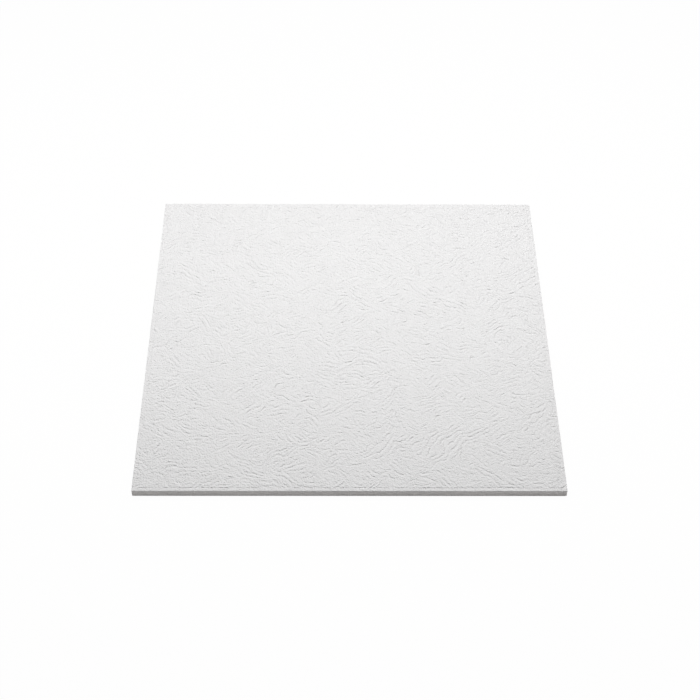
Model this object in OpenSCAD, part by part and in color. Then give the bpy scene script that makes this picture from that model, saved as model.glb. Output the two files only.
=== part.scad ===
// Moulded polystyrene ceiling tile, lying on its flat back with the crinkled face up.
// One foam moulding: a square plate with a narrow plain rim, a fine groove inside the rim
// and a field of crinkles like creased leather, which covers the rest of the face.
// Origin: middle of the back face, +Z towards the room.

/* [Plate] */
// Width of the tile along X
tile_w = 500; // [300:5:560]
// Depth of the tile along Y
tile_d = 500; // [300:5:560]
// Height of the plain edge, from the back to the top of the rim
edge_h = 9.2; // [6:0.1:20]
// Radius of the four upright corners
corner_r = 1.2; // [0.8:0.1:3]
// Radius that softens the edges along the face and the back
arris_r = 0.6; // [0.3:0.1:1.2]

/* [Rim] */
// Width of the plain rim, from the edge to the groove
rim_w = 4; // [3:0.1:10]
// Width of the groove between the rim and the crinkles
groove_w = 1.5; // [0.8:0.1:4]
// Depth of the groove below the rim
groove_depth = 0.35; // [0.2:0.05:1]

/* [Crinkles] */
// Rise of the highest crest above the floor of the groove
relief_h = 1.15; // [0.6:0.05:2]
// Distance from one crease to the next where they run side by side
crease_pitch = 8.4; // [7.6:0.1:14]
// Distance between the points that shape a crease along its length
crease_step = 11.6; // [10.4:0.2:16]
// Distance between the swirls, where the creases bend round
swirl_gap = 65; // [60:1:120]
// Radius of the largest swirls
swirl_r = 44; // [30:1:52]
// Turn of the creases at the middle of the strongest swirl, in degrees
swirl_turn = 50; // [0:1:55]
// Width of the band inside the groove where the creases straighten
calm_w = 30; // [20:1:60]
// Start number of the layout: another number gives another pattern
layout_seed = 42; // [1:1:999]

/* [Hidden] */
foam_white = [0.93, 0.93, 0.92];

// The floor of the groove is also the lowest level that a crease may reach
floor_z = edge_h - groove_depth;
field_w = tile_w - 2 * (rim_w + groove_w);
field_d = tile_d - 2 * (rim_w + groove_w);
// The crinkled layer is rooted this deep in the plate, so the two are one solid
root_depth = 1;
// Clearance above the face for the body that cuts the recess
cut_over = 1;

// Rows of points run along X. Even rows lie on the pillows and odd rows in the creases
rows = 2 * round(field_d / crease_pitch);
steps = round(field_w / crease_step);
// Most that a point strays along its row and across it, as a share of its spacing
stray_along = 0.11;
stray_across = 0.22;

// Levels as shares of relief_h: the tops of the pillows, and a full crease below them
pillow_level = 0.8;
pillow_stray = 0.2;
crease_depth = 0.76;
// Contrast of the averaged draws, which makes creases start and end
break_gain = 3.4;

// Swirls are placed by the plastic number and turned by the golden ratio, so none clump
swirl_count = round(field_w * field_d / (swirl_gap * swirl_gap));
plastic = 1.3247179572;
golden = 1.6180339887;
// Least radius and least turn of a swirl, as shares of the largest
least_r = 0.6;
least_turn = 0.45;
// A swirl stays this many of its radii inside the field, and a smaller one is left out
swirl_reach = 1.6;
tiny_r = 6;

function ease(a) = let (t = min(1, max(0, a))) t * t * (3 - 2 * t);
function part(a) = a - floor(a);
function border_gap(x, y) = min(field_w / 2 - abs(x), field_d / 2 - abs(y));

// One swirl: [x, y, radius, turn at its middle]
function make_swirl(k) =
    let (
        x = field_w * (part(k / plastic) - 0.5),
        y = field_d * (part(k / (plastic * plastic)) - 0.5),
        r = swirl_r * (least_r + (1 - least_r) * part(k * golden)),
        way = part(7 * k * golden) < 0.5 ? -1 : 1,
        turn = swirl_turn * (least_turn + (1 - least_turn) * part(3 * k * golden))
    )
    [x, y, min(r, border_gap(x, y) / swirl_reach), way * turn];

swirls = [
    for (n = [1:swirl_count])
        let (s = make_swirl(n + layout_seed))
        if (s[2] > tiny_r) s
];

// Turn a point round one swirl: fully at its middle, fading outwards and towards the rim
function turned(p, s) =
    let (
        dx = p[0] - s[0],
        dy = p[1] - s[1],
        fade = exp(-(dx * dx + dy * dy) / (s[2] * s[2])) * ease(border_gap(p[0], p[1]) / calm_w),
        a = s[3] * fade
    )
    [s[0] + dx * cos(a) - dy * sin(a), s[1] + dx * sin(a) + dy * cos(a)];

function swirled(p, n = 0) = n < len(swirls) ? swirled(turned(p, swirls[n]), n + 1) : p;

// Random draws of each row: along the row, across it, and for its strength
draw_seed = 1000 * layout_seed;
along = [for (j = [0:rows]) rands(-stray_along, stray_along, steps + 1, draw_seed + 3 * j)];
across = [for (j = [0:rows]) rands(-stray_across, stray_across, steps + 1, draw_seed + 3 * j + 1)];
strength = [for (j = [0:rows]) rands(0, 1, steps + 1, draw_seed + 3 * j + 2)];

function on_edge(i, j) = i == 0 || i == steps || j == 0 || j == rows;

// Depth of crease j at point i, from 0 where it is broken off to 1
function crease(i, j) =
    let (
        before = strength[j][max(0, i - 1)],
        after = strength[j][min(steps, i + 1)],
        mean = (before + 2 * strength[j][i] + after) / 4
    )
    min(1, max(0, 0.5 + break_gain * (mean - 0.5)));

function pillow(i, j) = pillow_level + pillow_stray * (2 * strength[j][i] - 1);

function plan_point(i, j) =
    on_edge(i, j) ? [field_w * (i / steps - 0.5), field_d * (j / rows - 0.5)]
    : swirled([
        field_w * ((i + along[j][i]) / steps - 0.5),
        field_d * ((j + across[j][i]) / rows - 0.5)
    ]);

// The outermost points are level with the rim, on the inner lip of the groove
function field_point(i, j) =
    let (
        p = plan_point(i, j),
        level = j % 2 == 0 ? pillow(i, j) : pillow_level - crease_depth * crease(i, j),
        rise = on_edge(i, j) ? groove_depth : relief_h * level
    )
    [p[0], p[1], floor_z + rise];

// Outline or section of the plate: a rectangle with four exact round corners
module round_rect(w, d, r) {
    square([w - 2 * r, d], center = true);
    square([w, d - 2 * r], center = true);
    for (sx = [-1, 1], sy = [-1, 1])
        translate([sx * (w / 2 - r), sy * (d / 2 - r)])
            circle(r, $fn = 32);
}

// Plain plate up to the top of the rim, with round upright corners and softened edges
module plate() {
    intersection() {
        linear_extrude(edge_h)
            round_rect(tile_w, tile_d, corner_r);
        translate([0, tile_d / 2, edge_h / 2])
            rotate([90, 0, 0])
                linear_extrude(tile_d)
                    round_rect(tile_w, edge_h, arris_r);
        translate([-tile_w / 2, 0, edge_h / 2])
            rotate([90, 0, 90])
                linear_extrude(tile_w)
                    round_rect(tile_d, edge_h, arris_r);
    }
}

// Shallow recess inside the rim. The crinkles fill it, apart from the groove around them
module recess() {
    translate([0, 0, floor_z + (groove_depth + cut_over) / 2])
        cube([tile_w - 2 * rim_w, tile_d - 2 * rim_w, groove_depth + cut_over], center = true);
}

// Crinkled layer: pillow rows and crease rows on the swirled lattice, with plain sides
module crinkles() {
    face = [for (j = [0:rows], i = [0:steps]) field_point(i, j)];
    base_z = floor_z - root_depth;
    foot = [
        for (corner = [[-1, -1], [1, -1], [1, 1], [-1, 1]])
            [corner[0] * field_w / 2, corner[1] * field_d / 2, base_z]
    ];
    row_len = steps + 1;
    last_row = rows * row_len;
    // Point numbers of the four feet
    sw = len(face);
    se = sw + 1;
    ne = sw + 2;
    nw = sw + 3;
    // Each cell is split along one diagonal or the other, as its own draw says
    facets = [
        for (j = [0:rows - 1], i = [0:steps - 1])
            let (
                a = j * row_len + i,
                b = a + 1,
                c = a + row_len + 1,
                d = a + row_len
            )
            each (strength[j][i] < 0.5 ? [[a, c, b], [a, d, c]] : [[a, d, b], [b, d, c]])
    ];
    front = [for (i = [0:steps - 1]) [i, i + 1, sw]];
    back = [for (i = [0:steps - 1]) [last_row + i + 1, last_row + i, ne]];
    left = [for (j = [0:rows - 1]) [(j + 1) * row_len, j * row_len, nw]];
    right = [for (j = [0:rows - 1]) [j * row_len + steps, (j + 1) * row_len + steps, se]];
    closing = [
        [sw, steps, se],
        [se, last_row + steps, ne],
        [ne, last_row, nw],
        [nw, 0, sw],
        [sw, se, ne, nw]
    ];
    polyhedron(concat(face, foot), concat(facets, front, back, left, right, closing));
}

module ceiling_tile() {
    color(foam_white)
        union() {
            difference() {
                plate();
                recess();
            }
            crinkles();
        }
}

ceiling_tile();
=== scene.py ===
"""Moulded foam ceiling tile: crinkled face like creased leather, groove, rim and flat back."""

from __future__ import annotations

import logging
import math
from dataclasses import dataclass, field
from enum import Enum

import bmesh
import bpy
import numpy as np
from mathutils import Matrix, Vector
from mathutils.bvhtree import BVHTree


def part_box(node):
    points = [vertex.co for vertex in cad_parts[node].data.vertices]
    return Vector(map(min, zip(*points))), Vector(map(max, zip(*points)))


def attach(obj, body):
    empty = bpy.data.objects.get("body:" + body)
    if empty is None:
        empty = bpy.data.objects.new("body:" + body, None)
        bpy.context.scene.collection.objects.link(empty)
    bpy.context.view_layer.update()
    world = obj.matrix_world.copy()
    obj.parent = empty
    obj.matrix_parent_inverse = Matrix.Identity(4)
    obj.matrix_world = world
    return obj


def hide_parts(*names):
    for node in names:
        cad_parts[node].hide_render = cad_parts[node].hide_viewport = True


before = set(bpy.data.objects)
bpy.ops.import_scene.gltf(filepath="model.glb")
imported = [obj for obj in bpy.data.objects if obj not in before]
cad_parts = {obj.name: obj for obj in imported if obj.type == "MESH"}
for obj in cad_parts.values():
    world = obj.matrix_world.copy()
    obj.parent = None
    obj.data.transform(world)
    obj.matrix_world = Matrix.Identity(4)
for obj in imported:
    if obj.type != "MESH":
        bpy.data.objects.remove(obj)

LOG = logging.getLogger("ceiling_tile")
MM = 0.001
NODE = "ceiling_tile"
# A length of random noise is this many times the reach of the blur that smooths it
NOISE_LENGTH = 3.0


class Skin(Enum):
    """The two finishes of the foam, by the names of their materials."""

    PLAIN = "foam_skin"
    CRINKLED = "crinkled_foam_skin"


def ease(value: np.ndarray) -> np.ndarray:
    """Return a smooth step from 0 to 1 for values from 0 to 1."""
    t = np.clip(value, 0.0, 1.0)
    return t * t * (3.0 - 2.0 * t)


@dataclass
class HeightMap:
    """A square height map in millimetres, with one value for each cell of a fine grid.

    Attributes:
        side: length of each side.
        cell: side of one cell.
        seed: start number of its random draws.
        count: number of cells along a side.
        x: place of each cell along X.
        y: place of each cell along Y.
        freq_x: waves per millimetre along X that the grid can hold.
        freq_y: waves per millimetre along Y that it can hold.
        freq: waves per millimetre, whichever way they run.
        rng: source of the random draws.
    """

    side: float
    cell: float = 0.5
    seed: int = 11
    count: int = field(init=False)
    x: np.ndarray = field(init=False, repr=False)
    y: np.ndarray = field(init=False, repr=False)
    freq_x: np.ndarray = field(init=False, repr=False)
    freq_y: np.ndarray = field(init=False, repr=False)
    freq: np.ndarray = field(init=False, repr=False)
    rng: np.random.Generator = field(init=False, repr=False)

    def __post_init__(self) -> None:
        """Lay out the cells, the waves that the grid can hold and the random source."""
        self.count = round(self.side / self.cell)
        line = (np.arange(self.count) + 0.5) * self.cell - self.side / 2
        self.x, self.y = np.meshgrid(line, line)
        freq = np.fft.fftfreq(self.count, self.cell)
        self.freq_x, self.freq_y = np.meshgrid(freq, freq)
        self.freq = np.hypot(self.freq_x, self.freq_y)
        self.rng = np.random.default_rng(self.seed)

    def filtered(self, source: np.ndarray, gain: np.ndarray) -> np.ndarray:
        """Return the source with each of its waves scaled by gain."""
        return np.real(np.fft.ifft2(np.fft.fft2(source) * gain))

    def blurred(self, source: np.ndarray, reach: float) -> np.ndarray:
        """Return the source blurred by a Gaussian of the given reach in millimetres."""
        return self.filtered(source, np.exp(-2.0 * (math.pi * self.freq * reach) ** 2))

    def drift(self, along: float, across: float) -> np.ndarray:
        """Draw smooth random noise.

        Args:
            along: length over which it varies along X, in millimetres.
            across: length over which it varies along Y, in millimetres.

        Returns:
            The noise, of unit spread.
        """
        lengths = (self.freq_x * along) ** 2 + (self.freq_y * across) ** 2
        gain = np.exp(-2.0 * math.pi**2 * lengths / NOISE_LENGTH**2)
        noise = self.filtered(self.rng.standard_normal((self.count, self.count)), gain)
        return noise / noise.std()

    def grain(self, length: float, octaves: float) -> np.ndarray:
        """Draw random noise with waves near one length.

        Args:
            length: wave length in millimetres.
            octaves: spread of the wave lengths, in octaves.

        Returns:
            The noise, of unit spread.
        """
        # The least value only keeps the logarithm away from the wave without end
        ratio = np.log2(np.maximum(self.freq, 1e-6) * length) / octaves
        gain = np.exp(-0.5 * ratio**2)
        noise = self.filtered(self.rng.standard_normal((self.count, self.count)), gain)
        return noise / noise.std()

    def sample(self, values: np.ndarray, x: np.ndarray, y: np.ndarray) -> np.ndarray:
        """Read values between the cells.

        Args:
            values: one value for each cell.
            x: places along X in millimetres.
            y: places along Y in millimetres.

        Returns:
            The values at the places, interpolated between the four nearest cells.
        """
        # Just short of the last cell, which has no neighbour beyond it
        last = self.count - 1.001
        u = np.clip((x + self.side / 2) / self.cell - 0.5, 0.0, last)
        v = np.clip((y + self.side / 2) / self.cell - 0.5, 0.0, last)
        i, j = u.astype(int), v.astype(int)
        a, b = u - i, v - j
        low = values[j, i] * (1 - a) + values[j, i + 1] * a
        high = values[j + 1, i] * (1 - a) + values[j + 1, i + 1] * a
        return low * (1 - b) + high * b


@dataclass(frozen=True)
class Flow:
    """The swirls that the creases bend round: the same as on the part's solid.

    Attributes:
        crinkled_side: side of the crinkled square in millimetres.
        gap: distance from one swirl to the next.
        radius: radius of the largest swirls.
        turn: turn at the middle of the strongest swirl, in radians.
        calm: width of the band inside the groove where the creases straighten.
        seed: start number of the layout.
        plastic: plastic number, which places the swirls so that none clump.
        golden: golden ratio, which varies their sizes and turns.
        least_radius: least radius of a swirl, as a share of the largest.
        least_turn: least turn of a swirl, as a share of the strongest.
        reach: a swirl stays this many of its radii inside the crinkled square.
        tiny: swirls up to this radius are left out.
        share: share of the solid's turn that these creases follow.
    """

    crinkled_side: float = 489.0
    gap: float = 65.0
    radius: float = 44.0
    turn: float = math.radians(50.0)
    calm: float = 30.0
    seed: int = 42
    plastic: float = 1.3247179572
    golden: float = 1.6180339887
    least_radius: float = 0.6
    least_turn: float = 0.45
    reach: float = 1.6
    tiny: float = 6.0
    share: float = 0.3

    def _swirls(self) -> list[tuple[float, float, float, float]]:
        """Place the swirls.

        Returns:
            The place along X and Y, the radius and the turn of each swirl.
        """
        side = self.crinkled_side
        count = round((side / self.gap) ** 2)
        found = []
        for k in range(self.seed + 1, self.seed + 1 + count):
            x = side * ((k / self.plastic) % 1 - 0.5)
            y = side * ((k / self.plastic**2) % 1 - 0.5)
            size = self.least_radius + (1 - self.least_radius) * (k * self.golden % 1)
            radius = min(self.radius * size, (side / 2 - max(abs(x), abs(y))) / self.reach)
            way = -1 if 7 * k * self.golden % 1 < 0.5 else 1
            turn = self.turn * (self.least_turn + (1 - self.least_turn) * (3 * k * self.golden % 1))
            if radius > self.tiny:
                found.append((x, y, radius, way * turn))
        return found

    def straightened(self, x: np.ndarray, y: np.ndarray) -> tuple[np.ndarray, np.ndarray]:
        """Undo the swirls.

        Args:
            x: places along X in millimetres.
            y: places along Y in millimetres.

        Returns:
            Where the places lay before the swirls, along X and along Y.
        """
        for cx, cy, radius, turn in reversed(self._swirls()):
            dx, dy = x - cx, y - cy
            inside = self.crinkled_side / 2 - np.maximum(np.abs(x), np.abs(y))
            fade = np.exp(-(dx**2 + dy**2) / radius**2) * ease(inside / self.calm)
            back = -self.share * turn * fade
            x = cx + dx * np.cos(back) - dy * np.sin(back)
            y = cy + dx * np.sin(back) + dy * np.cos(back)
        return x, y


@dataclass(frozen=True)
class CreaseKind:
    """One kind of crease, with its sizes in millimetres.

    Attributes:
        name: name of the vertex layer that hands the creases to the skin.
        pitch: mean distance from one crease to the next.
        sway: how far the creases stray off a straight line in long bends.
        bend: lengths over which they do so, along X and along Y.
        wave: how far they stray in short waves.
        wave_length: length over which the short waves vary.
        run: length over which a crease fades out and starts again.
        cover: how much of their length the creases are there: 0 is half of it, and more is more.
        reach: half width of a crease.
        depth: depth of the strongest creases.
        turns: directions from X in radians. All but the first have patches of their own.
        patch: size of the patches along X and along Y.
        lip: height of the lips on either side, as a share of the depth.
        lip_reach: how far the lips reach, as a multiple of the half width.
    """

    name: str
    pitch: float
    sway: float
    bend: tuple[float, float]
    wave: float
    wave_length: float
    run: float
    cover: float
    reach: float
    depth: float
    turns: tuple[float, float, float]
    patch: tuple[float, float]
    lip: float = 0.5
    lip_reach: float = 2.2


@dataclass
class CreaseMap:
    """Creases of one kind, which run where a phase is a whole number and so never cross.

    Attributes:
        grid: the height map that they lie on.
        kind: the kind of crease.
        fade: length of the fade where a crease breaks off, as a share of the spread of its noise.
        least_strength: strength that is left where a crease is broken off.
        least_facing: share of its own direction that a crease keeps before it fades out.
        facing_fade: rise in that share over which it comes back to full strength.
        patch_edge: level of the patch noise beyond which the creases take another direction.
        least_slope: slope of the phase, as a share of its mean, below which creases are left out.
        slow_margin: how far above that slope they begin to fade.
        slow_reach: reach in millimetres of the blur over such places.
        slow_gain: how strongly creases fade near them.
        torn_slope: slope of the phase, as a share of its mean, that shows the edge of a patch.
        torn_reach: reach in millimetres of the blur over such edges.
        torn_gain: how strongly creases fade near them.
        phase: number of the crease at each cell, with the share of the way to the next.
        strength: depth of the creases at each cell, as a share of the deepest.
        spacing: distance from one crease to the next at each cell, in millimetres.
    """

    grid: HeightMap
    kind: CreaseKind
    fade: float = 2.0
    least_strength: float = 0.4
    least_facing: float = 0.3
    facing_fade: float = 0.3
    patch_edge: float = 0.5
    least_slope: float = 0.5
    slow_margin: float = 0.1
    slow_reach: float = 1.0
    slow_gain: float = 6.0
    torn_slope: float = 3.0
    torn_reach: float = 1.1
    torn_gain: float = 6.0
    phase: np.ndarray = field(init=False, repr=False)
    strength: np.ndarray = field(init=False, repr=False)
    spacing: np.ndarray = field(init=False, repr=False)

    def _breaks(self, rows: int) -> np.ndarray:
        """Draw the noise that breaks the creases off, for each row apart from its neighbours.

        Args:
            rows: number of rows of creases.

        Returns:
            One line of noise for each row, of unit spread.
        """
        grid = self.grid
        noise = grid.rng.standard_normal((rows, grid.count))
        freq = np.fft.rfftfreq(grid.count, grid.cell)
        gain = np.exp(-2.0 * (math.pi * freq * self.kind.run / NOISE_LENGTH) ** 2)
        noise = np.fft.irfft(np.fft.rfft(noise) * gain, grid.count)
        return noise / noise.std()

    def _one_way(self, turn: float) -> tuple[np.ndarray, np.ndarray]:
        """Lay creases that mostly run one way.

        Args:
            turn: their direction in radians from X.

        Returns:
            The phase and the strength of the creases.
        """
        grid, kind = self.grid, self.kind
        along = grid.x * math.cos(turn) + grid.y * math.sin(turn)
        across = grid.y * math.cos(turn) - grid.x * math.sin(turn)
        stray = kind.sway * grid.drift(*kind.bend)
        stray = stray + kind.wave * grid.drift(kind.wave_length, kind.wave_length)
        phase = (across + stray) / kind.pitch
        dy, dx = np.gradient(phase * kind.pitch, grid.cell)
        facing = np.abs(dy * math.cos(turn) - dx * math.sin(turn)) / np.hypot(dx, dy)
        row = np.round(phase).astype(int)
        row -= row.min()
        column = (along / grid.cell).astype(int) % grid.count
        strength = ease((self._breaks(row.max() + 1)[row, column] + kind.cover) / self.fade)
        strength = self.least_strength + (1 - self.least_strength) * strength
        return phase, strength * ease((facing - self.least_facing) / self.facing_fade)

    def lay(self, flow: Flow) -> None:
        """Lay the creases in patches of each direction, and bend them round the swirls.

        Args:
            flow: the swirls.
        """
        grid, kind = self.grid, self.kind
        phase, strength = self._one_way(kind.turns[0])
        spot = grid.drift(*kind.patch)
        for turn, side in zip(kind.turns[1:], (1, -1)):
            own_phase, own_strength = self._one_way(turn)
            inside = side * spot > self.patch_edge
            phase = np.where(inside, own_phase, phase)
            strength = np.where(inside, own_strength, strength)
        x, y = flow.straightened(grid.x, grid.y)
        self.phase = grid.sample(phase, x, y)
        slope = np.hypot(*np.gradient(self.phase * kind.pitch, grid.cell))
        self.spacing = kind.pitch / np.maximum(slope, self.least_slope)
        self.strength = grid.sample(strength, x, y) * self._whole(slope)

    def _whole(self, slope: np.ndarray) -> np.ndarray:
        """Find where creases would tear at the edge of a patch, or widen into a blot.

        Args:
            slope: slope of the phase at each cell, as a share of its mean.

        Returns:
            0 at such places and 1 away from them.
        """
        torn = self.grid.blurred((slope > self.torn_slope).astype(float), self.torn_reach)
        slow = np.maximum(0.0, self.least_slope + self.slow_margin - slope)
        slow = self.grid.blurred(slow, self.slow_reach)
        return ease(1.0 - self.torn_gain * torn) * ease(1.0 - self.slow_gain * slow)

    def relief(self) -> np.ndarray:
        """Shape the creases.

        Returns:
            The height of the creases and their lips, in millimetres.
        """
        kind = self.kind
        across = (self.phase - np.round(self.phase)) * self.spacing / kind.reach
        dip = np.exp(-(across**2)) - kind.lip * np.exp(-((across / kind.lip_reach) ** 2))
        return -kind.depth * self.strength * dip


@dataclass
class Crinkles:
    """The relief of the face, in millimetres above and below its mean level.

    Attributes:
        flow: the swirls that all the creases bend round.
        kinds: the kinds of crease, from coarse to fine.
        solid_share: share of the relief of the part's solid that is mixed in.
        solid_step: distance between the places where that relief is felt.
        solid_blur: reach of the blur that takes the facets off it.
        feel_from: height from which it is felt.
    """

    flow: Flow = Flow()
    kinds: tuple[CreaseKind, ...] = (
        CreaseKind(
            name="creases",
            pitch=6.8,
            sway=2.2,
            bend=(16.0, 21.0),
            wave=0.6,
            wave_length=7.0,
            run=6.5,
            cover=1.2,
            reach=1.55,
            depth=0.69,
            turns=(0.0, math.radians(38.0), math.radians(-38.0)),
            patch=(22.0, 16.0),
        ),
        CreaseKind(
            name="wrinkles",
            pitch=5.2,
            sway=2.0,
            bend=(12.0, 16.0),
            wave=0.45,
            wave_length=5.0,
            run=5.0,
            cover=1.1,
            reach=1.2,
            depth=0.42,
            turns=(0.0, math.radians(34.0), math.radians(-34.0)),
            patch=(20.0, 15.0),
        ),
    )
    solid_share: float = 0.06
    solid_step: float = 2.0
    solid_blur: float = 0.9
    feel_from: float = 100.0

    def _solid_relief(self, grid: HeightMap) -> np.ndarray:
        """Feel the relief of the part's own solid.

        Args:
            grid: the height map of the face.

        Returns:
            That relief, smoothed, about its mean level.
        """
        tree = BVHTree.FromObject(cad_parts[NODE], bpy.context.evaluated_depsgraph_get())
        coarse = HeightMap(side=grid.side, cell=self.solid_step)
        level = np.zeros((coarse.count, coarse.count))
        for cell in np.ndindex(level.shape):
            start = Vector((coarse.x[cell], coarse.y[cell], self.feel_from)) * MM
            hit = tree.ray_cast(start, Vector((0, 0, -1)))
            level[cell] = hit[0].z / MM
        relief = coarse.sample(coarse.blurred(level, self.solid_blur), grid.x, grid.y)
        return relief - relief.mean()

    def lay(self, grid: HeightMap) -> list[CreaseMap]:
        """Lay the creases.

        Args:
            grid: the height map of the face.

        Returns:
            The creases of each kind, bent round the swirls of the solid.
        """
        maps = [CreaseMap(grid, kind) for kind in self.kinds]
        for creases in maps:
            creases.lay(self.flow)
        return maps

    def height(self, grid: HeightMap, maps: list[CreaseMap]) -> np.ndarray:
        """Add up the relief.

        Args:
            grid: the height map of the face.
            maps: the creases of each kind.

        Returns:
            The relief of the solid and of all the creases, about its mean level.
        """
        relief = self.solid_share * self._solid_relief(grid)
        for creases in maps:
            relief = relief + creases.relief()
        return relief - relief.mean()


@dataclass
class CeilingTile:
    """The foam moulding, as one closed mesh over the part's solid, with its sizes in millimetres.

    Attributes:
        edge: height of the plain edge.
        arris: how far the softened edges along the face and the back reach in.
        arris_fall: fall of the arris at its middle, as a share of its reach.
        corner: radius of the four upright corners.
        rim: width of the plain rim.
        groove: width of the groove.
        groove_depth: depth of the groove where it is deepest.
        groove_sharpness: reach of the groove's round section, as a share of its width.
        groove_least: depth of the faint stretches, as a share. The sides along Y are all faint.
        groove_run: length over which the groove along X turns from faint to deep.
        groove_cover: how much of it is deep: 0.5 is half of it.
        groove_contrast: how sharply it turns from faint to deep.
        field_level: mean level of the crinkled field.
        field_ramp: width past the groove over which the field rises to full relief.
        rim_calm: how much weaker the fine creases get towards the rims along X.
        rim_wave: wave length of the faint waves on the rim.
        rim_octaves: spread of those waves, in octaves.
        rim_rise: height of those waves.
        nick_gap: wave length of the noise that places the nicks in the arris.
        nick_octaves: spread of that noise, in octaves.
        nick_level: level of the noise at which a nick starts.
        nick_fade: rise of the noise over which it gets its full depth.
        nick_reach: how far in from the edge nicks end.
        nick_slope: width over which they end.
        nick_depth: depth of a nick.
        columns: number of spaces between the mesh lines along X.
        lines: number of spaces between the mesh lines along Y.
        arris_lines: mesh lines past the start of the rim, counted from the arris.
        rim_lines: mesh lines on the rim, counted from the edge.
        lip_outer: distance of a mesh line from the lip of the groove, on the high side.
        lip_inner: distance of a mesh line from the lip of the groove, on the low side.
        field_start: distance from the groove to the first mesh line of the even spacing.
        crinkles: the relief of the crinkled field.
        width: size along X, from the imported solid.
        depth: size along Y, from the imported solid.
        top: greatest height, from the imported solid.
    """

    edge: float = 9.2
    arris: float = 0.5
    arris_fall: float = 0.3
    corner: float = 1.2
    rim: float = 3.6
    groove: float = 1.4
    groove_depth: float = 0.5
    groove_sharpness: float = 0.3
    groove_least: float = 0.25
    groove_run: float = 9.0
    groove_cover: float = 0.5
    groove_contrast: float = 0.7
    field_level: float = 9.4
    field_ramp: float = 0.3
    rim_calm: float = 0.5
    rim_wave: float = 3.4
    rim_octaves: float = 0.5
    rim_rise: float = 0.05
    nick_gap: float = 7.0
    nick_octaves: float = 0.4
    nick_level: float = 1.8
    nick_fade: float = 0.5
    nick_reach: float = 1.6
    nick_slope: float = 0.8
    nick_depth: float = 0.3
    columns: int = 244
    lines: int = 374
    arris_lines: tuple[float, float] = (0.12, 0.35)
    rim_lines: tuple[float, float] = (1.9, 2.6)
    lip_outer: float = 0.3
    lip_inner: float = 0.25
    field_start: float = 1.4
    crinkles: Crinkles = field(default_factory=Crinkles)
    width: float = field(init=False)
    depth: float = field(init=False)
    top: float = field(init=False)

    def __post_init__(self) -> None:
        """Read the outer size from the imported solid."""
        low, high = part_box(NODE)
        self.width = (high[0] - low[0]) / MM
        self.depth = (high[1] - low[1]) / MM
        self.top = high[2] / MM

    def _gap(self, x: np.ndarray, y: np.ndarray) -> np.ndarray:
        """Return the distance from places to the nearest edge, in millimetres."""
        return np.minimum(self.width / 2 - np.abs(x), self.depth / 2 - np.abs(y))

    def _runs_along_x(self, x: np.ndarray, y: np.ndarray) -> np.ndarray:
        """Return 1 where the nearest edge runs along X and 0 where it runs along Y."""
        return (self.width / 2 - np.abs(x) > self.depth / 2 - np.abs(y)).astype(float)

    def _field_part(self, x: np.ndarray, y: np.ndarray) -> np.ndarray:
        """Return 0 on the rim and 1 on the crinkled field, with a ramp inside the groove."""
        past_groove = self._gap(x, y) - self.rim - self.groove / 2
        return ease(past_groove / (self.groove / 2 + self.field_ramp))

    def _groove_dip(self, grid: HeightMap, x: np.ndarray, y: np.ndarray) -> np.ndarray:
        """Cut the groove, broken into faint and deep stretches.

        Args:
            grid: the height map of the face.
            x: places along X in millimetres.
            y: places along Y in millimetres.

        Returns:
            The depth of the groove at the places, in millimetres.
        """
        noise = grid.sample(grid.drift(self.groove_run, self.groove_run), x, y)
        deep = ease(self.groove_cover + self.groove_contrast * noise) * self._runs_along_x(x, y)
        off_middle = self._gap(x, y) - self.rim - self.groove / 2
        reach = self.groove * self.groove_sharpness
        section = self.groove_depth * np.exp(-0.5 * (off_middle / reach) ** 2)
        return section * (self.groove_least + (1 - self.groove_least) * deep)

    def _nicks(self, grid: HeightMap, x: np.ndarray, y: np.ndarray) -> np.ndarray:
        """Chip small nicks out of the edge of the face.

        Args:
            grid: the height map of the face.
            x: places along X in millimetres.
            y: places along Y in millimetres.

        Returns:
            The depth of the nicks at the places, in millimetres.
        """
        noise = grid.sample(grid.grain(self.nick_gap, self.nick_octaves), x, y)
        near_edge = ease((self.nick_reach - self._gap(x, y)) / self.nick_slope)
        return self.nick_depth * near_edge * ease((noise - self.nick_level) / self.nick_fade)

    def _face_height(
        self, grid: HeightMap, relief: np.ndarray, x: np.ndarray, y: np.ndarray
    ) -> np.ndarray:
        """Shape the face.

        Args:
            grid: the height map of the face.
            relief: relief of the crinkles for each of its cells.
            x: places along X in millimetres.
            y: places along Y in millimetres.

        Returns:
            The height of the face at the places, in millimetres.
        """
        groove_dip = self._groove_dip(grid, x, y)
        waves = self.rim_rise * grid.sample(grid.grain(self.rim_wave, self.rim_octaves), x, y)
        rise = self.field_level - self.edge + grid.sample(relief, x, y)
        level = self.edge + waves + rise * self._field_part(x, y)
        return np.minimum(level - groove_dip - self._nicks(grid, x, y), self.top)

    def _mesh_lines(self, count: int, length: float) -> np.ndarray:
        """Space the mesh lines across one side, closer together at the rim.

        Args:
            count: number of spaces between the lines.
            length: length of the side in millimetres.

        Returns:
            The places of the lines from the middle of the side, in millimetres.
        """
        outer, inner = self.rim, self.rim + self.groove
        from_edge = [
            self.arris,
            *(self.arris + past for past in self.arris_lines),
            self.corner,
            *self.rim_lines,
            outer - self.lip_outer,
            outer + self.lip_inner,
            (outer + inner) / 2,
            inner - self.lip_inner,
            inner + self.lip_outer,
        ]
        close = np.array(from_edge) - length / 2
        start = inner + self.field_start - length / 2
        even = np.linspace(start, -start, count + 1 - 2 * len(close))
        return np.concatenate([close, even, -close[::-1]])

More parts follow.
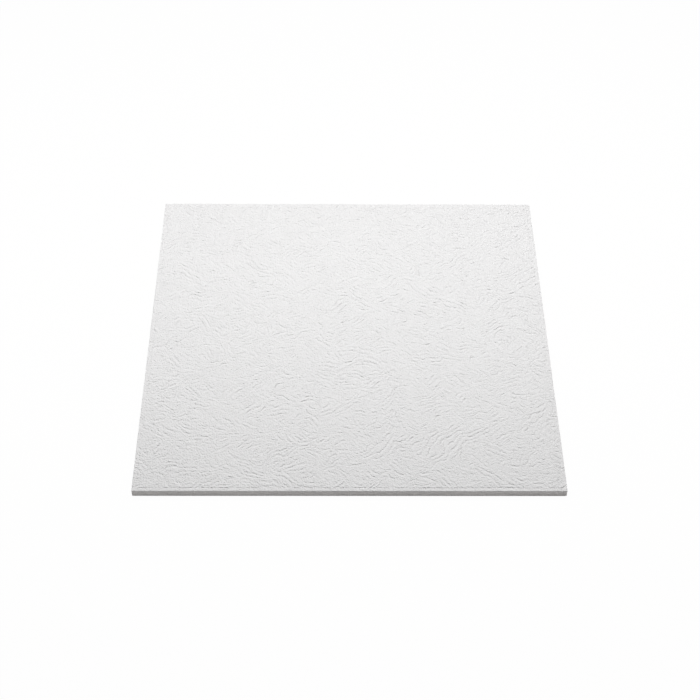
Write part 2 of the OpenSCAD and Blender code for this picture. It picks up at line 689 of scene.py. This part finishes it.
    def _places(self, bm: bmesh.types.BMesh) -> tuple[np.ndarray, np.ndarray]:
        """Work out where the vertices of the even grid go.

        Args:
            bm: the even grid, 2 units wide.

        Returns:
            The place of each vertex along X and along Y, in millimetres.
        """
        unit = np.array([vert.co[:2] for vert in bm.verts])
        places = []
        for axis, (count, length) in enumerate(
            ((self.columns, self.width), (self.lines, self.depth))
        ):
            number = (unit[:, axis] + 1) / 2 * count
            lines = self._mesh_lines(count, length)
            places.append(np.interp(number, np.arange(count + 1), lines))
        return places[0], places[1]

    def _hand_on(
        self, bm: bmesh.types.BMesh, creases: CreaseMap, x: np.ndarray, y: np.ndarray
    ) -> None:
        """Hand the creases of one kind on to the skin, in a vertex layer.

        Args:
            bm: the mesh of the face.
            creases: the creases.
            x: place of each vertex along X in millimetres.
            y: place of each vertex along Y in millimetres.
        """
        inner = 1.0 - self.rim_calm * (1.0 - self._field_part(x, y)) * self._runs_along_x(x, y)
        phase = creases.grid.sample(creases.phase, x, y)
        strength = creases.grid.sample(creases.strength, x, y) * inner
        spacing = creases.grid.sample(creases.spacing, x, y)
        layer = bm.verts.layers.float_vector.new(creases.kind.name)
        for vert, value in zip(bm.verts, np.stack([phase, strength, spacing], axis=1)):
            vert[layer] = Vector(value)

    def _outward(self, place: float, half: float, inset: float) -> float:
        """Move a place on the edge in or out, and leave any other where it is.

        Args:
            place: place along X or Y in millimetres.
            half: half of the tile's size on that axis.
            inset: new distance from the edge.

        Returns:
            The new place.
        """
        slack = 0.01
        if abs(place) < half - self.arris - slack:
            return place
        return math.copysign(half - inset, place)

    def _wrap_sides(self, bm: bmesh.types.BMesh) -> None:
        """Carry the rim of the face round the arris, down the sides and across the back.

        Args:
            bm: the mesh of the face.
        """
        ring = [edge for edge in bm.edges if edge.is_boundary]
        fall = self.arris_fall * self.arris
        # Distance of each next ring from the edge, and its height, or None for just below the face
        for inset, level in (
            (fall, None),
            (0.0, self.edge - self.arris),
            (0.0, self.edge / 2),
            (0.0, self.arris),
            (fall, fall),
            (self.arris, 0.0),
        ):
            made = bmesh.ops.extrude_edge_only(bm, edges=ring)["geom"]
            ring = [item for item in made if isinstance(item, bmesh.types.BMEdge)]
            for vert in {vert for edge in ring for vert in edge.verts}:
                x, y, z = (place / MM for place in vert.co)
                x = self._outward(x, self.width / 2, inset)
                y = self._outward(y, self.depth / 2, inset)
                z = z - fall if level is None else level
                vert.co = Vector((x, y, z)) * MM
        bmesh.ops.contextual_create(bm, geom=ring)

    def _round_corners(self, bm: bmesh.types.BMesh) -> None:
        """Turn the four upright corners from square to round.

        Args:
            bm: the closed mesh.
        """
        for vert in bm.verts:
            x, y, z = (place / MM for place in vert.co)
            u = (abs(x) - self.width / 2) / self.corner + 1
            v = (abs(y) - self.depth / 2) / self.corner + 1
            if u > 0 and v > 0:
                inset_x = self.corner * (1 - u * math.sqrt(1 - v * v / 2))
                inset_y = self.corner * (1 - v * math.sqrt(1 - u * u / 2))
                x = math.copysign(self.width / 2 - inset_x, x)
                y = math.copysign(self.depth / 2 - inset_y, y)
                vert.co = Vector((x, y, z)) * MM

    def _finish_faces(self, bm: bmesh.types.BMesh) -> None:
        """Shade all but the flat back smooth, and give the face inside the arris the crinkled skin.

        Args:
            bm: the closed mesh.
        """
        straight_down = -0.99
        slots = {skin: number for number, skin in enumerate(Skin)}
        for face in bm.faces:
            middle = face.calc_center_median() / MM
            inside = self._gap(middle.x, middle.y) > self.arris and middle.z > self.edge / 2
            face.smooth = face.normal.z > straight_down
            face.material_index = slots[Skin.CRINKLED if inside else Skin.PLAIN]

    def build(self) -> bpy.types.Object:
        """Build the moulding.

        Returns:
            The finished object, at the origin.
        """
        bm = bmesh.new()
        bmesh.ops.create_grid(bm, x_segments=self.columns, y_segments=self.lines, size=1.0)
        x, y = self._places(bm)
        grid = HeightMap(side=max(self.width, self.depth))
        maps = self.crinkles.lay(grid)
        z = self._face_height(grid, self.crinkles.height(grid, maps), x, y)
        for creases in maps:
            self._hand_on(bm, creases, x, y)
        for vert, place in zip(bm.verts, np.stack([x, y, z], axis=1) * MM):
            vert.co = place
        self._wrap_sides(bm)
        self._round_corners(bm)
        bmesh.ops.triangulate(bm, faces=bm.faces, quad_method="SHORT_EDGE")
        bmesh.ops.recalc_face_normals(bm, faces=bm.faces)
        self._finish_faces(bm)
        mesh = bpy.data.meshes.new("foam_tile")
        bm.to_mesh(mesh)
        bm.free()
        tile = bpy.data.objects.new("foam_tile", mesh)
        bpy.context.scene.collection.objects.link(tile)
        return tile


@dataclass(frozen=True)
class ShaderSheet:
    """The shader nodes of one material or surround, with a short way to add and link them.

    Attributes:
        tree: the tree that holds the nodes.
    """

    tree: bpy.types.NodeTree

    def add(self, kind: str) -> bpy.types.Node:
        """Add one node of the given kind, and return it."""
        return self.tree.nodes.new(kind)

    def link(self, source: bpy.types.NodeSocket, target: bpy.types.NodeSocket) -> None:
        """Link an output to an input."""
        self.tree.links.new(source, target)

    def compute(
        self,
        operation: str,
        first: bpy.types.NodeSocket,
        second: bpy.types.NodeSocket | float = 0.0,
    ) -> bpy.types.NodeSocket:
        """Compute with one or two numbers.

        Args:
            operation: name of the operation.
            first: the first number.
            second: the second number or a constant, where the operation takes two.

        Returns:
            The result.
        """
        node = self.add("ShaderNodeMath")
        node.operation = operation
        self.link(first, node.inputs[0])
        if isinstance(second, float):
            node.inputs[1].default_value = second
        else:
            self.link(second, node.inputs[1])
        return node.outputs[0]

    def noise(
        self, place: bpy.types.NodeSocket, size: float, detail: float
    ) -> bpy.types.NodeSocket:
        """Make random patches.

        Args:
            place: the place on the piece.
            size: size of the patches in millimetres.
            detail: number of finer octaves on top.

        Returns:
            The noise, from 0 to 1.
        """
        noise = self.add("ShaderNodeTexNoise")
        noise.inputs["Scale"].default_value = 1.0 / (size * MM)
        noise.inputs["Detail"].default_value = detail
        self.link(place, noise.inputs["Vector"])
        return noise.outputs["Fac"]

    def bump(
        self,
        height: bpy.types.NodeSocket,
        depth: float,
        under: bpy.types.NodeSocket | None = None,
    ) -> bpy.types.NodeSocket:
        """Lay a fine relief on the surface.

        Args:
            height: the relief, as a share.
            depth: its height in millimetres, or below 0 where it is sunk.
            under: the normal of the relief below it, if there is one.

        Returns:
            The normal of the surface with the relief.
        """
        bump = self.add("ShaderNodeBump")
        bump.invert = depth < 0
        bump.inputs["Distance"].default_value = abs(depth) * MM
        self.link(height, bump.inputs["Height"])
        if under is not None:
            self.link(under, bump.inputs["Normal"])
        return bump.outputs["Normal"]

    def seen(self, share: float) -> bpy.types.NodeSocket:
        """Tell the rays that show the surround from those that light the tile.

        Args:
            share: the value for rays that show the surround, straight on or in gloss.

        Returns:
            That value for them, and 0 for the rest.
        """
        path = self.add("ShaderNodeLightPath").outputs
        rays = self.compute("MAXIMUM", path["Is Camera Ray"], path["Is Glossy Ray"])
        rays = self.compute("MAXIMUM", rays, path["Is Transmission Ray"])
        return self.compute("MULTIPLY", rays, share)


@dataclass(frozen=True)
class FoamSkin:
    """Matt white skin of moulded bead foam, plain or with sharp creases, with sizes in millimetres.

    Attributes:
        color: colour of the foam.
        shades: how dark and how light its large soft patches are, as shares of the colour.
        shade_size: size of those patches.
        shade_detail: number of finer octaves on top of them.
        roughness: roughness of the skin.
        gloss: specular level of the skin.
        bead: size of the beads.
        bead_depth: depth of the seams between them.
        grain: size of the fine grain, which also makes the creases ragged.
        grain_depth: depth of the grain, before its waves average out.
        grain_detail: number of finer octaves in the grain.
        jag: how far the grain shifts the middle line of a crease.
        sharpness: depth of the sharp creases, as a share of the modelled ones.
        narrowing: half width of the sharp creases, as a share of the modelled ones.
    """

    color: tuple[float, float, float] = (0.872, 0.866, 0.866)
    shades: tuple[float, float] = (0.985, 1.01)
    shade_size: float = 110.0
    shade_detail: float = 4.0
    roughness: float = 0.7
    gloss: float = 0.25
    bead: float = 3.2
    bead_depth: float = 0.05
    grain: float = 1.8
    grain_depth: float = 1.75
    grain_detail: float = 2.0
    jag: float = 1.3
    sharpness: float = 0.65
    narrowing: float = 0.85

    def material(self, skin: Skin, kinds: tuple[CreaseKind, ...]) -> bpy.types.Material:
        """Make the material of one finish.

        Args:
            skin: plain, or with the creases of the face.
            kinds: the kinds of crease that the vertex layers of the mesh hold.

        Returns:
            The material.
        """
        mat = bpy.data.materials.new(skin.value)
        mat.use_nodes = True
        sheet = ShaderSheet(mat.node_tree)
        shader = mat.node_tree.nodes["Principled BSDF"]
        shader.inputs["Roughness"].default_value = self.roughness
        shader.inputs["Specular IOR Level"].default_value = self.gloss
        place = sheet.add("ShaderNodeTexCoord").outputs["Object"]
        sheet.link(self._shaded(sheet, place), shader.inputs["Base Color"])
        normal = sheet.bump(self._beads(sheet, place), -self.bead_depth)
        grain = sheet.noise(place, self.grain, self.grain_detail)
        normal = sheet.bump(grain, self.grain_depth, normal)
        if skin is Skin.CRINKLED:
            for kind in kinds:
                creases = self._creases(sheet, place, kind)
                normal = sheet.bump(creases, -kind.depth * self.sharpness, normal)
        sheet.link(normal, shader.inputs["Normal"])
        return mat

    def _shaded(self, sheet: ShaderSheet, place: bpy.types.NodeSocket) -> bpy.types.NodeSocket:
        """Colour the foam in large soft patches.

        Args:
            sheet: the shader nodes of the skin.
            place: the place on the piece.

        Returns:
            The colour.
        """
        mix = sheet.add("ShaderNodeMix")
        mix.data_type = "RGBA"
        # Inputs 6 and 7 and output 2 are the colours of the node, which has a set for each type
        for number, shade in zip((6, 7), self.shades):
            mix.inputs[number].default_value = (*(part * shade for part in self.color), 1)
        noise = sheet.noise(place, self.shade_size, self.shade_detail)
        sheet.link(noise, mix.inputs["Factor"])
        return mix.outputs[2]

    def _beads(self, sheet: ShaderSheet, place: bpy.types.NodeSocket) -> bpy.types.NodeSocket:
        """Pack the beads.

        Args:
            sheet: the shader nodes of the skin.
            place: the place on the piece.

        Returns:
            The distance from the middle of the nearest bead, as a share of its size.
        """
        beads = sheet.add("ShaderNodeTexVoronoi")
        beads.feature = "SMOOTH_F1"
        beads.inputs["Scale"].default_value = 1.0 / (self.bead * MM)
        sheet.link(place, beads.inputs["Vector"])
        return beads.outputs["Distance"]

    def _fall(
        self, sheet: ShaderSheet, across: bpy.types.NodeSocket, reach: float
    ) -> bpy.types.NodeSocket:
        """Fall off from the middle line of a crease.

        Args:
            sheet: the shader nodes of the skin.
            across: distance from the middle line in millimetres.
            reach: distance over which it falls off.

        Returns:
            1 on the middle line, and 0 well beyond the reach.
        """
        share = sheet.compute("DIVIDE", across, reach)
        square = sheet.compute("MULTIPLY", share, share)
        return sheet.compute("EXPONENT", sheet.compute("MULTIPLY", square, -1.0))

    def _creases(
        self, sheet: ShaderSheet, place: bpy.types.NodeSocket, kind: CreaseKind
    ) -> bpy.types.NodeSocket:
        """Draw the sharp creases of one kind from their vertex layer.

        Args:
            sheet: the shader nodes of the skin.
            place: the place on the piece.
            kind: the kind of crease.

        Returns:
            Their depth, as a share of the deepest.
        """
        held = sheet.add("ShaderNodeAttribute")
        held.attribute_name = kind.name
        parts = sheet.add("ShaderNodeSeparateXYZ")
        sheet.link(held.outputs["Vector"], parts.inputs[0])
        phase, strength, spacing = parts.outputs
        # The noise lies about 0.5, and twice the jag takes it to either side
        grain = sheet.compute("SUBTRACT", sheet.noise(place, self.grain, 0.0), 0.5)
        shift = sheet.compute("MULTIPLY", grain, 2.0 * self.jag / kind.pitch)
        phase = sheet.compute("ADD", phase, shift)
        off = sheet.compute("SUBTRACT", phase, sheet.compute("ROUND", phase))
        across = sheet.compute("MULTIPLY", off, spacing)
        reach = kind.reach * self.narrowing
        lips = self._fall(sheet, across, reach * kind.lip_reach)
        lips = sheet.compute("MULTIPLY", lips, kind.lip)
        dip = sheet.compute("SUBTRACT", self._fall(sheet, across, reach), lips)
        return sheet.compute("MULTIPLY", dip, strength)


@dataclass(frozen=True)
class Floor:
    """Pale floor that shows near white, keeps a faint shadow and is open under the tile.

    Attributes:
        size: side of the floor in metres.
        lap: how far the floor reaches under the tile, in metres.
        color: colour of the floor.
        white_share: share of plain white in what the camera sees of it.
    """

    size: float = 12.0
    lap: float = 0.0006
    color: tuple[float, float, float] = (0.95, 0.92, 0.9)
    white_share: float = 0.975

    def _material(self) -> bpy.types.Material:
        """Make the material of the floor.

        Returns:
            The material.
        """
        mat = bpy.data.materials.new("floor_white")
        mat.use_nodes = True
        mat.node_tree.nodes.clear()
        sheet = ShaderSheet(mat.node_tree)
        matt = sheet.add("ShaderNodeBsdfDiffuse")
        matt.inputs["Color"].default_value = (*self.color, 1)
        white = sheet.add("ShaderNodeEmission")
        mix = sheet.add("ShaderNodeMixShader")
        sheet.link(sheet.seen(self.white_share), mix.inputs["Fac"])
        sheet.link(matt.outputs[0], mix.inputs[1])
        sheet.link(white.outputs[0], mix.inputs[2])
        sheet.link(mix.outputs[0], sheet.add("ShaderNodeOutputMaterial").inputs["Surface"])
        return mat

    def build(self) -> bpy.types.Object:
        """Build the floor.

        Returns:
            The finished object.
        """
        low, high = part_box(NODE)
        border = (self.size - (high[0] - low[0])) / 2 + self.lap
        bm = bmesh.new()
        bmesh.ops.create_grid(bm, x_segments=1, y_segments=1, size=self.size / 2)
        middle = bm.faces[:]
        bmesh.ops.inset_individual(bm, faces=middle, thickness=border, use_even_offset=True)
        bmesh.ops.delete(bm, geom=middle, context="FACES")
        mesh = bpy.data.meshes.new("floor")
        bm.to_mesh(mesh)
        bm.free()
        mesh.materials.append(self._material())
        floor = bpy.data.objects.new("floor", mesh)
        bpy.context.scene.collection.objects.link(floor)
        return floor


@dataclass(frozen=True)
class Surround:
    """Dim even light from all around, which the camera sees as white.

    Attributes:
        strength: strength of the light on the tile.
    """

    strength: float = 0.125

    def build(self) -> None:
        """Build the surround."""
        world = bpy.data.worlds.new("surround")
        bpy.context.scene.world = world
        world.use_nodes = True
        nodes = world.node_tree.nodes
        sheet = ShaderSheet(world.node_tree)
        dim = nodes["Background"]
        white = sheet.add("ShaderNodeBackground")
        for back in (dim, white):
            back.inputs["Color"].default_value = (1, 1, 1, 1)
        dim.inputs["Strength"].default_value = self.strength
        mix = sheet.add("ShaderNodeMixShader")
        sheet.link(sheet.seen(1.0), mix.inputs["Fac"])
        sheet.link(dim.outputs[0], mix.inputs[1])
        sheet.link(white.outputs[0], mix.inputs[2])
        sheet.link(mix.outputs[0], nodes["World Output"].inputs["Surface"])


@dataclass(frozen=True)
class Lamp:
    """One soft rectangular lamp that faces the tile.

    Attributes:
        name: name of the lamp.
        place: where it hangs, in metres.
        size: its width and height in metres.
        power: its power in watts.
    """

    name: str
    place: tuple[float, float, float]
    size: tuple[float, float]
    power: float

    def build(self) -> None:
        """Hang the lamp."""
        data = bpy.data.lights.new(self.name, "AREA")
        data.shape = "RECTANGLE"
        data.size, data.size_y = self.size
        data.energy = self.power
        lamp = bpy.data.objects.new(self.name, data)
        lamp.location = self.place
        lamp.rotation_euler = (-Vector(self.place)).to_track_quat("-Z", "Y").to_euler()
        bpy.context.scene.collection.objects.link(lamp)


@dataclass(frozen=True)
class Camera:
    """The camera, which stands where the photo was taken from.

    Attributes:
        aim: the point in the middle of the picture, in metres.
        distance: distance from there to the camera, in metres.
        elevation: its angle above the horizon in degrees.
        azimuth: direction in which it looks, in degrees from +Y towards +X.
        roll: its turn about the line of sight in degrees.
        lens: focal length in millimetres.
        farthest: greatest distance that it shows, in metres.
    """

    aim: tuple[float, float, float] = (0.0016, -0.027, 0.0092)
    distance: float = 1.8619
    elevation: float = 46.444
    azimuth: float = 0.852
    roll: float = -0.707
    lens: float = 76.709
    farthest: float = 50.0

    def build(self) -> None:
        """Stand the camera in its place, and make it the scene's own."""
        az, el = math.radians(self.azimuth), math.radians(self.elevation)
        ahead = Vector((math.sin(az) * math.cos(el), math.cos(az) * math.cos(el), -math.sin(el)))
        right = Vector((math.cos(az), -math.sin(az), 0.0))
        turn = Matrix((right, right.cross(ahead), -ahead)).transposed()
        turn = turn @ Matrix.Rotation(math.radians(-self.roll), 3, "Z")
        place = Vector(self.aim) - self.distance * ahead
        data = bpy.data.cameras.new("camera")
        data.lens = self.lens
        data.clip_end = self.farthest
        camera = bpy.data.objects.new("camera", data)
        camera.matrix_world = Matrix.LocRotScale(place, turn.to_quaternion(), None)
        bpy.context.scene.collection.objects.link(camera)
        bpy.context.scene.camera = camera


@dataclass
class Studio:
    """Pale floor, white surround, soft lamps and the camera.

    Attributes:
        floor: the floor.
        surround: the light from all around.
        lamps: the lamps. The floor keeps the one below it off all but the back of the tile.
        camera: the camera.
    """

    floor: Floor = Floor()
    surround: Surround = Surround()
    lamps: tuple[Lamp, ...] = (
        Lamp("key", place=(0.0, 0.35, 1.0), size=(1.8, 0.4), power=12.7),
        Lamp("overhead", place=(0.0, 0.0, 1.0), size=(1.6, 0.4), power=1.95),
        Lamp("underside", place=(0.0, -0.35, -1.0), size=(1.6, 0.4), power=11.0),
    )
    camera: Camera = Camera()

    def build(self) -> None:
        """Build the whole studio."""
        for item in (self.floor, self.surround, *self.lamps, self.camera):
            item.build()
        bpy.context.scene.view_settings.view_transform = "Standard"


def main() -> None:
    """Build the studio and the tile, and report each piece."""
    logging.basicConfig(level=logging.INFO, format="%(name)s: %(message)s")
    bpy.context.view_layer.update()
    Studio().build()
    moulding = CeilingTile()
    tile = moulding.build()
    for skin in Skin:
        tile.data.materials.append(FoamSkin().material(skin, moulding.crinkles.kinds))
    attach(tile, "root")
    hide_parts(NODE)
    LOG.info("%s: %d faces", tile.name, len(tile.data.polygons))


if __name__ == "__main__":
    main()
